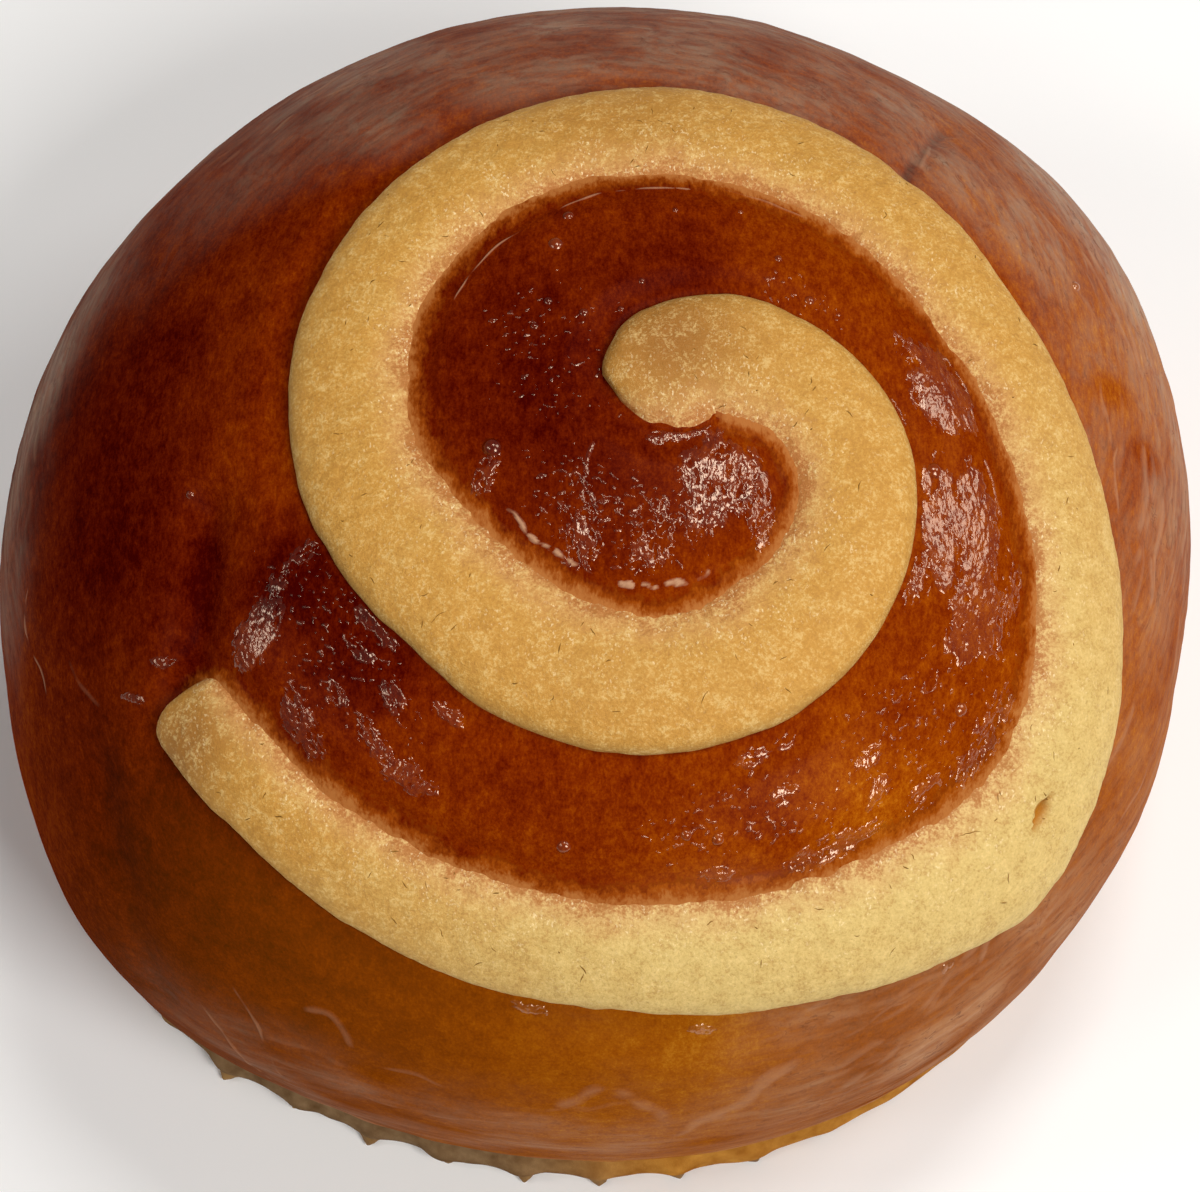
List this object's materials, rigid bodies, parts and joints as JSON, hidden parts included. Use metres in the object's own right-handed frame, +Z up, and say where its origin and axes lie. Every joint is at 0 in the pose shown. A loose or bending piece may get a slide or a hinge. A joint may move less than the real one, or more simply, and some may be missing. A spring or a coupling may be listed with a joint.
{
  "type": "custard bun",
  "caption": "Round soft bun with a glossy brown domed crust, a pale foot ringed with small crumbs, and a raised spiral band of baked custard cream over its top.",
  "frame": {"origin": "centre of the bounding box at its base, on the surface that the bun rests on", "axes": "+Z up through the crown; the camera of the picture looks along +Y from above, with +X to its right"},
  "size_m": [0.105, 0.1052, 0.0607],
  "materials": {
    "crust": "egg-washed crust, glossy",
    "custard": "fine-grained baked custard cream, matte"
  },
  "bodies": {
    "root": {"bun": "crust", "custard_swirl": "custard"}
  },
  "joints": []
}
